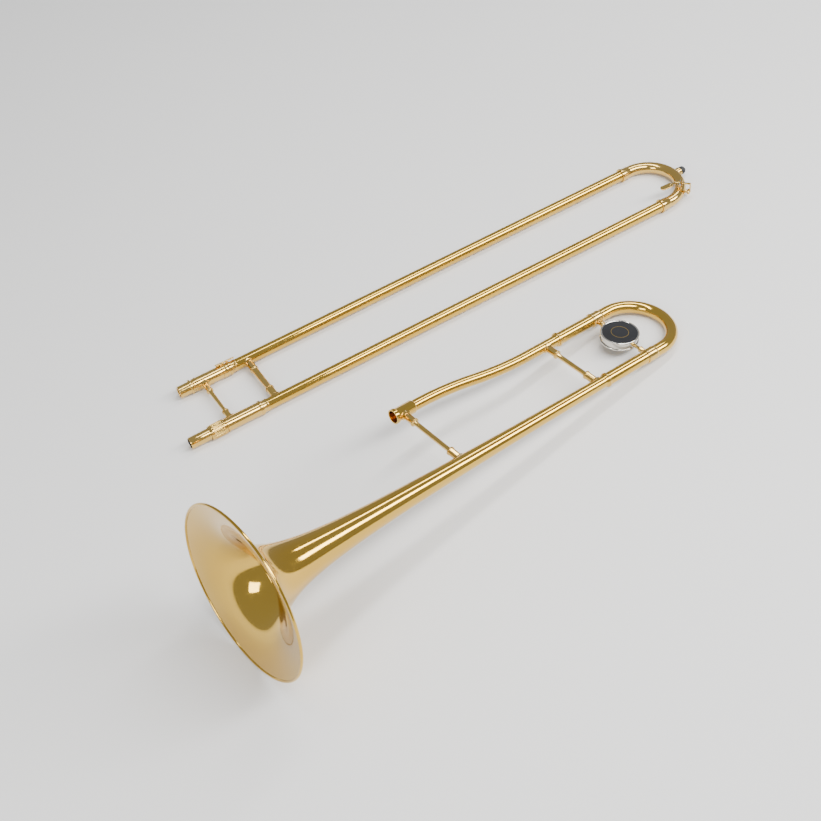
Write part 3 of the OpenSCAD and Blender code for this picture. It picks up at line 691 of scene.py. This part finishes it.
mouth = turn_part("mouthpiece_receiver", [
    (mouth_start, shank_bore), (mouth_start, mouth_r), (mouth_end - 0.003, mouth_r),
    (mouth_end - 0.0028, cup_r), (mouth_end, cup_r), (mouth_end, lead_r - 0.0004),
    (mouth_start + shank_depth, lead_r - 0.0004), (mouth_start + shank_depth, shank_bore)],
    96, second_y)
ease_edges(mouth, 0.0003, 3)
finish(mouth, slide_section, fitting_brass, "inner_slide", "mouthpiece_receiver")
ring = make_ring("receiver_ring", ring_start, second_y, mouth_r - 0.0001, rest_r,
                 ring_end - ring_start)
finish(ring, slide_section, fitting_brass, "inner_slide", "receiver_ring")

# The slide's tubes are of the same brass and nickel, with their lines along the slide.
slide_brass = lacquered_metal(
    "lacquered_slide_brass", slide_section, brass_tones, 0.5, 0.08)
slide_nickel = lacquered_metal(
    "bright_nickel_tube", slide_section, nickel_tones, 0.4, 0.06)
look_of("leadpipe", slide_brass)

# ---------------------------------------------------------------------------------------
# Inner slide: two long thin nickel tubes with slightly thicker stockings at their far
# ends, each held in a turned cork barrel, and a thin brace between the barrels.
inner_wall = 0.00035
barrel_wall = 0.0008
inner_y = {"bell_side": 0.0, "mouthpiece_side": second_y}

cork_low, cork_high = reach("barrel_corks", slide_section)
cork_r = (cork_high.z - cork_low.z) / 2
barrel_r = cork_r + barrel_wall
for name, across in inner_y.items():
    start, end, _, radius = gauge("inner_tube_" + name, slide_section)
    tube = turn_part("inner_tube_" + name, [
        (start, radius - inner_wall), (start, radius), (end - 0.0002, radius),
        (end, radius - 0.0001), (end, radius - inner_wall)], 96, across)
    finish(tube, slide_section, slide_nickel, "inner_slide", "inner_tube_" + name)
    start, end, _, stocking_r = gauge("stocking_" + name, slide_section)
    stocking = turn_part("stocking_" + name, [
        (start, radius), (start + 0.0004, stocking_r), (end - 0.0004, stocking_r),
        (end, stocking_r - 0.00008), (end, radius)], 96, across)
    finish(stocking, slide_section, slide_nickel, "inner_slide", "stocking_" + name)
    start, end, _, ring_r = gauge("cork_barrel_" + name, slide_section)
    barrel = turn_part("cork_barrel_" + name, [
        (start, radius), (start, ring_r - 0.0003), (start + 0.002, ring_r - 0.0003),
        (start + 0.0021, barrel_r + 0.0002), (start + 0.0035, barrel_r),
        (end - 0.0048, barrel_r), (end - 0.0044, barrel_r - 0.0002),
        (end - 0.0038, barrel_r - 0.0002), (end - 0.0034, barrel_r), (end - 0.003, barrel_r),
        (end - 0.0028, ring_r), (end, ring_r), (end, cork_r), (cork_low.x, cork_r),
        (cork_low.x, radius)], 96, across)
    ease_edges(barrel, 0.0002)
    finish(barrel, slide_section, fitting_brass, "inner_slide", "cork_barrel_" + name)

fit_brace("inner_brace", "inner_slide", slide_section,
          middle_of("inner_brace", slide_section), (barrel_r,) * 3,
          {"rod": 0.0026, "socket": 0.0037, "socket_length": 0.012, "ring": 0.0045,
           "across": second_y})

# Natural cork: tan, with darker pores a millimetre or so across and a soft, dry surface.
cork = new_material("natural_cork")
cork_grain = grain_of(cork, {"Scale": 900.0}, "ShaderNodeTexVoronoi")
cork_pores = add_node(cork, "ShaderNodeMapRange", {"From Min": 0.1, "From Max": 0.5},
                      {"Value": (cork_grain, "Distance")})
cork_relief = add_node(cork, "ShaderNodeBump", {"Strength": 0.4, "Distance": 0.0002},
                       {"Height": (cork_pores, 0)})
give_surface(cork, blend(cork, "#7A5230", "#B98D5C", cork_pores), {"Roughness": 0.85},
             {"Normal": (cork_relief, 0)})
look_of("barrel_corks", cork)

# ---------------------------------------------------------------------------------------
# Slide tenon and lock nut: the brass end of the first tube, which enters the bell
# section's receiver, and the knurled brass nut that turns on it and locks the two.
flute_count = 32
flute_depth = 0.0004
nut_seat_depth = 0.005
tenon_collar_length = 0.003

tenon_low, tenon_high = reach("slide_tenon", slide_section)
tenon_collar_r = gauge("slide_tenon", slide_section).radius
nut_start, nut_end, _, nut_r = gauge("lock_nut", slide_section)
tenon_r = mount_r["slide_tenon"]
slide_bore = gauge("inner_tube_bell_side", slide_section).radius - inner_wall
nut_seat = nut_start + nut_seat_depth
nut_bore = tenon_r + 0.00035
tenon = turn_part("slide_tenon", [
    (tenon_low.x, slide_bore), (tenon_low.x, tenon_r - 0.0006), (tenon_low.x + 0.001, tenon_r),
    (nut_seat - 0.006, tenon_r), (nut_seat - 0.006, tenon_r - 0.0002),
    (nut_seat, tenon_r - 0.0002), (nut_seat, tenon_collar_r),
    (nut_seat + tenon_collar_length, tenon_collar_r),
    (nut_seat + tenon_collar_length, tenon_r + 0.0003),
    (tenon_high.x, tenon_r + 0.0003), (tenon_high.x, slide_bore)], 96)
finish(tenon, slide_section, fitting_brass, "inner_slide", "slide_tenon")

nut = turn_part("lock_nut", [
    (nut_start, nut_r - 0.0013), (nut_start, nut_r - 0.0008),
    (nut_start + 0.0004, nut_r - 0.0005),
    (nut_start + 0.002, nut_r - 0.0005), (nut_start + 0.0021, nut_r - 0.0002),
    (nut_start + 0.0026, nut_r), (nut_start + 0.0042, nut_r), (nut_end - 0.0022, nut_r),
    (nut_end - 0.0006, nut_r), (nut_end, nut_r - 0.0006), (nut_end, nut_bore),
    (nut_seat + 0.0034, nut_bore), (nut_seat + 0.0034, nut_r - 0.0013)], 4 * flute_count)


def open_faces(piece, wanted):
    """Goes into edit mode with just the faces selected that pass a test."""
    clear_bench()
    piece.select_set(True)
    bpy.context.view_layer.objects.active = piece
    bpy.ops.object.transform_apply()
    bpy.ops.object.mode_set(mode="EDIT")
    bpy.ops.mesh.select_mode(type="FACE")
    bpy.ops.mesh.select_all(action="DESELECT")
    bpy.ops.object.mode_set(mode="OBJECT")
    for face in piece.data.polygons:
        face.select = wanted(face)
    bpy.ops.object.mode_set(mode="EDIT")


def close_faces():
    """Leaves edit mode, ready for tools that start from a vertex."""
    bpy.ops.mesh.select_mode(type="VERT")
    bpy.ops.object.mode_set(mode="OBJECT")


def in_a_flute(face):
    """Whether a face of the nut's round side lies where a flute is sunk."""
    turn = math.atan2(face.center.z, face.center.y) % (2 * math.pi)
    step = int(turn / (2 * math.pi) * 4 * flute_count)
    return (face.center.yz.length > nut_r - 0.0002 and step % 4 < 2
            and nut_start + 0.0043 < face.center.x < nut_end - 0.0023)


open_faces(nut, in_a_flute)
bpy.ops.mesh.inset(thickness=0.0001, depth=-flute_depth)
close_faces()
ease_edges(nut, 0.0001, 1, 50)
finish(nut, slide_section, fitting_brass, "lock_nut", "lock_nut")

# ---------------------------------------------------------------------------------------
# Slide lock: a brass ring that turns on the second barrel, with a thumb plate and a bar
# that hooks over the stud on the outer slide's band.
lock_behind_barrel_end = 0.012
lock_width = 0.006
lock_play = 0.00005
hook_turn = math.radians(-25)


def make_block(name, low, high, rounding, steps=3):
    """A block with rounded edges between two corners."""
    clear_bench()
    bpy.ops.mesh.primitive_cube_add(size=1, location=(Vector(low) + Vector(high)) / 2)
    block = bpy.context.object
    block.name = name
    bpy.ops.object.mode_set(mode="EDIT")
    bpy.ops.transform.resize(value=Vector(high) - Vector(low))
    bpy.ops.object.mode_set(mode="OBJECT")
    ease_edges(block, rounding, steps)
    return block


def join_pieces(pieces, name):
    """Joins pieces, each already where it belongs, into one."""
    clear_bench()
    for piece in pieces:
        piece.select_set(True)
    bpy.context.view_layer.objects.active = pieces[0]
    bpy.ops.object.transform_apply()
    bpy.ops.object.join()
    pieces[0].name = name
    return pieces[0]


barrel_end = gauge("cork_barrel_mouthpiece_side", slide_section).end
lock_start = barrel_end - lock_behind_barrel_end
lock_r = rest_r - 0.0002
hook_end = reach("slide_lock", slide_section)[1].x
lock_end = lock_start + lock_width
lock = join_pieces([
    turn_part("lock_ring", [
        (lock_start, barrel_r + lock_play), (lock_start, lock_r - 0.0002),
        (lock_start + 0.0002, lock_r), (lock_start + 0.0012, lock_r),
        (lock_start + 0.0016, lock_r - 0.0003), (lock_end - 0.0016, lock_r - 0.0003),
        (lock_end - 0.0012, lock_r), (lock_end - 0.0002, lock_r),
        (lock_end, lock_r - 0.0002), (lock_end, barrel_r + lock_play)],
        96),
    make_block("lock_foot", (lock_start + 0.0002, -0.0034, lock_r - 0.00062),
               (lock_end - 0.0002, 0.0034, lock_r + 0.0015), 0.0004),
    make_block("lock_plate", (lock_start - 0.005, -0.0035, lock_r + 0.0002),
               (lock_start + 0.004, 0.0035, lock_r + 0.0019), 0.0006),
    make_block("lock_bar", (lock_start + 0.001, -0.002, lock_r + 0.0006),
               (hook_end, 0.002, lock_r + 0.0018), 0.0005)], "slide_lock")
finish(lock, slide_section @ Matrix.Translation((0, second_y, 0))
       @ Matrix.Rotation(hook_turn, 4, "X"), fitting_brass, "slide_lock",
       "slide_lock")

# ---------------------------------------------------------------------------------------
# Outer slide tubes: two long lacquered brass tubes, each with a turned band at its open
# end, and the stud for the slide lock on the second band.
outer_wall = 0.0005
band_rise = 0.0007
stud_r = 0.0012
stud_height = 0.0026

for name, across in inner_y.items():
    start, end, _, outer_r = gauge("outer_tube_" + name, slide_section)
    tube = turn_part("outer_tube_" + name, [
        (start, outer_r - outer_wall), (start, outer_r - 0.0001), (start + 0.0002, outer_r),
        (end, outer_r), (end, outer_r - outer_wall)], 96, across)
    finish(tube, slide_section, slide_brass, "outer_slide", "outer_tube_" + name)
    band_low, band_high = reach("outer_end_bands", slide_section)
    band_r = outer_r + band_rise
    band = turn_part("outer_end_band", [
        (band_low.x, outer_r), (band_low.x, band_r - 0.0002), (band_low.x + 0.0003, band_r),
        (band_low.x + 0.0016, band_r), (band_low.x + 0.002, band_r - 0.0003),
        (band_high.x - 0.002, band_r - 0.0003), (band_high.x - 0.0016, band_r),
        (band_high.x - 0.0003, band_r), (band_high.x, band_r - 0.0003),
        (band_high.x, outer_r)], 96, across)
    finish(band, slide_section, fitting_brass, "outer_slide", "outer_end_bands")

stud_low, stud_high = reach("lock_stud", slide_section)
stud_turn = Matrix.Rotation(math.pi / 4, 4, "X") @ Matrix.Rotation(-math.pi / 2, 4, "Y")
stud = turn_part("lock_stud", [
    (band_r - 0.0004, 0), (band_r - 0.0004, 0.0015), (band_r + 0.0001, stud_r),
    (band_r + 0.0022, stud_r), (band_r + stud_height, 0.0008), (band_r + stud_height, 0)],
    32, solid=True)
finish(stud, slide_section @ Matrix.Translation(((stud_low.x + stud_high.x) / 2, second_y, 0))
       @ stud_turn, fitting_brass, "outer_slide", "lock_stud")

fit_brace("outer_brace", "outer_slide", slide_section,
          middle_of("outer_brace", slide_section), (outer_r,) * 3,
          {"rod": 0.0044, "socket": 0.0049, "socket_length": 0.014, "ring": 0.0057,
           "across": second_y})

# ---------------------------------------------------------------------------------------
# Slide bow: the half turn that joins the outer tubes, of pale brass, with a ferrule and
# its ring on each leg and a rubber-tipped bumper at its outermost point.
crook_wall = 0.00085
ferrule_ring_width = 0.003
bumper_hole_r = 0.0006
bumper_recess = 0.001

crook_low, crook_high = reach("slide_bow", slide_section)
crook_r = (crook_high.z - crook_low.z) / 2
crook_half = (crook_high.y - crook_low.y) / 2 - crook_r
crook_x = crook_low.x
crook = start_tube("slide_bow", (crook_x, 0, 0), crook_r, 96)
bend_tube((crook_x, crook_half, 0), -180, 64)
close_tube(crook, crook_wall)
finish(crook, slide_section, fitting_brass, "outer_slide", "slide_bow")

ferrule_low, ferrule_high = reach("bow_ferrules", slide_section)
for across in inner_y.values():
    ferrule = turn_part("bow_ferrule", [
        (ferrule_low.x, outer_r), (ferrule_low.x, rest_r - 0.0006),
        (ferrule_low.x + 0.0005, rest_r), (ferrule_low.x + ferrule_ring_width - 0.0005, rest_r),
        (ferrule_low.x + ferrule_ring_width, rest_r - 0.0006),
        (ferrule_low.x + ferrule_ring_width + 0.0004, outer_r + 0.001),
        (ferrule_high.x - 0.001, outer_r + 0.001), (ferrule_high.x, crook_r + 0.0001),
        (ferrule_high.x, outer_r)], 96, across)
    ease_edges(ferrule, 0.00015)
    finish(ferrule, slide_section, fitting_brass, "outer_slide", "bow_ferrules")

socket_low, socket_high = reach("bumper_socket", slide_section)
tip_low, tip_high = reach("bumper_tip", slide_section)
bumper_r = (tip_high.z - tip_low.z) / 2
bumper = turn_part("bumper_socket", [
    (socket_low.x, bumper_hole_r), (socket_low.x, bumper_r + 0.0004),
    (socket_high.x - 0.0014, bumper_r + 0.0004), (socket_high.x - 0.0012, bumper_r + 0.0004),
    (socket_high.x, bumper_r + 0.0004), (socket_high.x, bumper_r - bumper_recess),
    (tip_low.x, bumper_r - bumper_recess), (tip_low.x, bumper_hole_r)], 64, crook_half)
ease_edges(bumper, 0.0003)
finish(bumper, slide_section, fitting_brass, "outer_slide", "bumper_socket")

# Moulded black rubber: soft charcoal black with no mirror, only a broad dull sheen.
rubber = new_material("moulded_black_rubber")
rubber_grain = grain_of(rubber, {"Scale": 1500.0, "Detail": 2.0})
rubber_relief = add_node(rubber, "ShaderNodeBump", {"Strength": 0.3, "Distance": 0.0001},
                         {"Height": (rubber_grain, "Fac")})
give_surface(rubber, blend(rubber, "#1B1B1B", "#262626", rubber_grain), {"Roughness": 0.6},
             {"Normal": (rubber_relief, 0)})

dome_x = tip_high.x - bumper_r
dome = [(dome_x + bumper_r * math.sin(math.radians(a)), bumper_r * math.cos(math.radians(a)))
        for a in range(0, 90, 9)]
tip = turn_part("bumper_tip", [
    (tip_low.x, 0), (tip_low.x, bumper_r - bumper_recess),
    (socket_high.x, bumper_r - bumper_recess),
    (socket_high.x, bumper_r - 0.0002), (socket_high.x + 0.0003, bumper_r)] + dome
    + [(tip_high.x, 0)], 64, crook_half, solid=True)
finish(tip, slide_section, rubber, "outer_slide", "bumper_tip")

# ---------------------------------------------------------------------------------------
# Water key: a sprung lever on the slide bow. Its hinge stands between two ears on a small
# saddle; one arm ends in a touch plate over the bow, the other presses a cork on the
# drain nipple.
ear_gap = 0.005
ear_width = 0.0016
hinge_pin_r = 0.0009
spring_wire_r = 0.0003
spring_coil_r = 0.0021
spring_turns = 3
drain_r = 0.0015
pin_past_saddle = 0.0005
rod_r = 0.0011
cup_rise = 0.0005
plate_r = 0.0042
plate_thickness = 0.0016
plate_stretch = (-0.0075, -0.0076, 0)
barrel_core_r = 0.0015
barrel_boss_r = 0.0023

key_joint = joints["water_key_press"]
along_bow = -Vector(key_joint["axis"])
upwards = Vector((0, 0, 1))
outwards = along_bow.cross(upwards)
hinge = Vector(key_joint["pos_m"])
hinge_height = hinge.z - (slide_section @ Vector((crook_x, 0, 0))).z
key_section = Matrix.Translation(hinge - hinge_height * upwards) @ Matrix(
    (outwards, along_bow, upwards)).transposed().to_4x4()
at_hinge = key_section @ Matrix.Translation((0, 0, hinge_height)) @ Matrix.Rotation(
    math.pi / 2, 4, "Z")
saddle_half = reach("water_key_saddle", key_section)[1].y
saddle_top = crook_r + 0.001

ears = [make_block("key_saddle", (-0.0035, -saddle_half, crook_r - 0.0009),
                   (0.0035, saddle_half, saddle_top), 0.0003)]
for side in (-1, 1):
    middle_y = side * (ear_gap + ear_width / 2)
    ears.append(make_block("key_ear", (-0.002, middle_y - ear_width / 2, crook_r - 0.0005),
                           (0.002, middle_y + ear_width / 2, hinge_height), 0.0002))
    clear_bench()
    bpy.ops.mesh.primitive_cylinder_add(vertices=32, radius=0.002, depth=ear_width,
                                        location=(0, middle_y, hinge_height),
                                        rotation=(math.pi / 2, 0, 0))
    ease_edges(bpy.context.object, 0.0002)
    ears.append(bpy.context.object)
finish(join_pieces(ears, "water_key_saddle"), key_section, fitting_brass, "outer_slide",
       "water_key_saddle")

nipple_start, nipple_end, _, nipple_r = gauge("water_key_nipple", key_section)
nipple = turn_part("water_key_nipple", [
    (nipple_start, drain_r), (nipple_start, nipple_r), (nipple_end - 0.0008, nipple_r),
    (nipple_end, nipple_r - 0.0006), (nipple_end, drain_r)], 48)
finish(nipple, key_section, fitting_brass, "outer_slide", "water_key_nipple")

# Drawn spring steel: a plain grey metal with a soft shine and fine lines along the wire.
spring_steel = lacquered_metal(
    "drawn_spring_steel", slide_section, ("#8E8E8D", "#A7A7A6"), 0.3, 0.22)

pin_half = saddle_half + pin_past_saddle
pin = turn_part("water_key_pin", [
    (-pin_half, 0), (-pin_half, hinge_pin_r - 0.0003), (-pin_half + 0.0003, hinge_pin_r),
    (pin_half - 0.0003, hinge_pin_r), (pin_half, hinge_pin_r - 0.0003), (pin_half, 0)],
    32, solid=True)
finish(pin, at_hinge, spring_steel, "outer_slide", "water_key_pin")

spring_low, spring_high = reach("water_key_spring", key_section)
coil_width = 0.0021 - 2 * spring_wire_r
springs = []
for coil_start in (spring_low.y + spring_wire_r, spring_high.y - spring_wire_r - coil_width):
    clear_bench()
    bpy.ops.mesh.primitive_circle_add(vertices=12, radius=spring_wire_r,
                                      location=(0, 0, spring_coil_r),
                                      rotation=(0, math.pi / 2, 0))
    coil = bpy.context.object
    bpy.ops.object.transform_apply()
    screw = coil.modifiers.new("coil", "SCREW")
    screw.axis = "Y"
    screw.angle = 2 * math.pi * spring_turns
    screw.screw_offset = coil_width
    screw.steps = 24 * spring_turns
    screw.use_merge_vertices = False
    bpy.ops.object.modifier_apply(modifier=screw.name)
    bpy.ops.object.mode_set(mode="EDIT")
    bpy.ops.mesh.select_all(action="DESELECT")
    bpy.ops.mesh.select_non_manifold()
    bpy.ops.mesh.edge_face_add()
    bpy.ops.mesh.select_all(action="SELECT")
    bpy.ops.mesh.normals_make_consistent(inside=False)
    bpy.ops.transform.translate(value=(0, coil_start, hinge_height))
    bpy.ops.object.mode_set(mode="OBJECT")
    springs.append(coil)
    clear_bench()
    bpy.ops.mesh.primitive_cylinder_add(
        vertices=12, radius=spring_wire_r, depth=hinge_height - spring_coil_r - saddle_top,
        location=(0, coil_start + coil_width / 2,
                  (hinge_height - spring_coil_r + saddle_top) / 2))
    springs.append(bpy.context.object)
finish(join_pieces(springs, "water_key_spring"), key_section, spring_steel, "outer_slide",
       "water_key_spring")

cork_start, cork_end, _, pad_r = gauge("water_key_cork", key_section)


def make_rod(start, end, radius):
    """A round rod from one point to another, with eased ends."""
    clear_bench()
    start, end = Vector(start), Vector(end)
    bpy.ops.mesh.primitive_cylinder_add(
        vertices=24, radius=radius, depth=(end - start).length, location=(start + end) / 2,
        rotation=(end - start).to_track_quat("Z", "Y").to_euler())
    rod = bpy.context.object
    ease_edges(rod, radius * 0.6, 4)
    return rod


arm_z = hinge_height + 0.0022
elbow = Vector((-0.0065, -0.002, arm_z))
touch = Vector((-0.0115, -0.0103, arm_z + 0.001))
clear_bench()
bpy.ops.mesh.primitive_cylinder_add(vertices=48, radius=plate_r, depth=plate_thickness,
                                    location=touch + Vector((0, 0, 0.0002)))
touch_plate = bpy.context.object
open_faces(touch_plate, lambda face: abs(face.normal.z) < 0.5 and
           face.center.x - touch.x + face.center.y - touch.y < 0)
bpy.ops.transform.translate(value=plate_stretch)
close_faces()
open_faces(touch_plate, lambda face: face.normal.z > 0.9)
bpy.ops.mesh.inset(thickness=0.0012, depth=-0.0003)
close_faces()
ease_edges(touch_plate, 0.0004, 3, 50)

barrel_half = ear_gap - 0.0004
hinge_barrel = turn_part("hinge_barrel", [
    (-barrel_half, hinge_pin_r + 0.00005), (-barrel_half, barrel_core_r),
    (-0.002, barrel_core_r), (-0.002, barrel_boss_r - 0.0002), (-0.0018, barrel_boss_r),
    (0.0018, barrel_boss_r), (0.002, barrel_boss_r - 0.0002), (0.002, barrel_core_r),
    (barrel_half, barrel_core_r), (barrel_half, hinge_pin_r + 0.00005)], 48)
hinge_barrel.matrix_world = Matrix.Translation((0, 0, hinge_height)) @ Matrix.Rotation(
    math.pi / 2, 4, "Z")
cup = turn_part("cork_cup", [
    (cork_end - 0.0006, pad_r), (cork_end - 0.0006, pad_r + cup_rise),
    (cork_end + 0.0012, pad_r + cup_rise), (cork_end + 0.0016, pad_r), (cork_end + 0.0016, 0),
    (cork_end, 0), (cork_end, pad_r)], 48)
lever = join_pieces([
    hinge_barrel, touch_plate, cup, make_rod((0, 0, hinge_height + 0.0018), elbow, rod_r),
    make_rod(elbow, touch, rod_r),
    make_block("key_tail", (0.0004, -0.0017, hinge_height + 0.0006),
               (cork_end + 0.0026, 0.0017, hinge_height + 0.0021), 0.0004),
    make_block("key_drop", (cork_end + 0.001, -0.0017, 0),
               (cork_end + 0.0026, 0.0017, hinge_height + 0.0012), 0.0004)], "water_key_lever")
finish(lever, key_section, fitting_brass, "water_key", "water_key_lever")

pad = turn_part("water_key_cork", [
    (cork_start, 0), (cork_start, pad_r - 0.0003), (cork_start + 0.0002, pad_r),
    (cork_end, pad_r), (cork_end, 0)], 48, solid=True)
finish(pad, key_section, cork, "water_key", "water_key_cork")
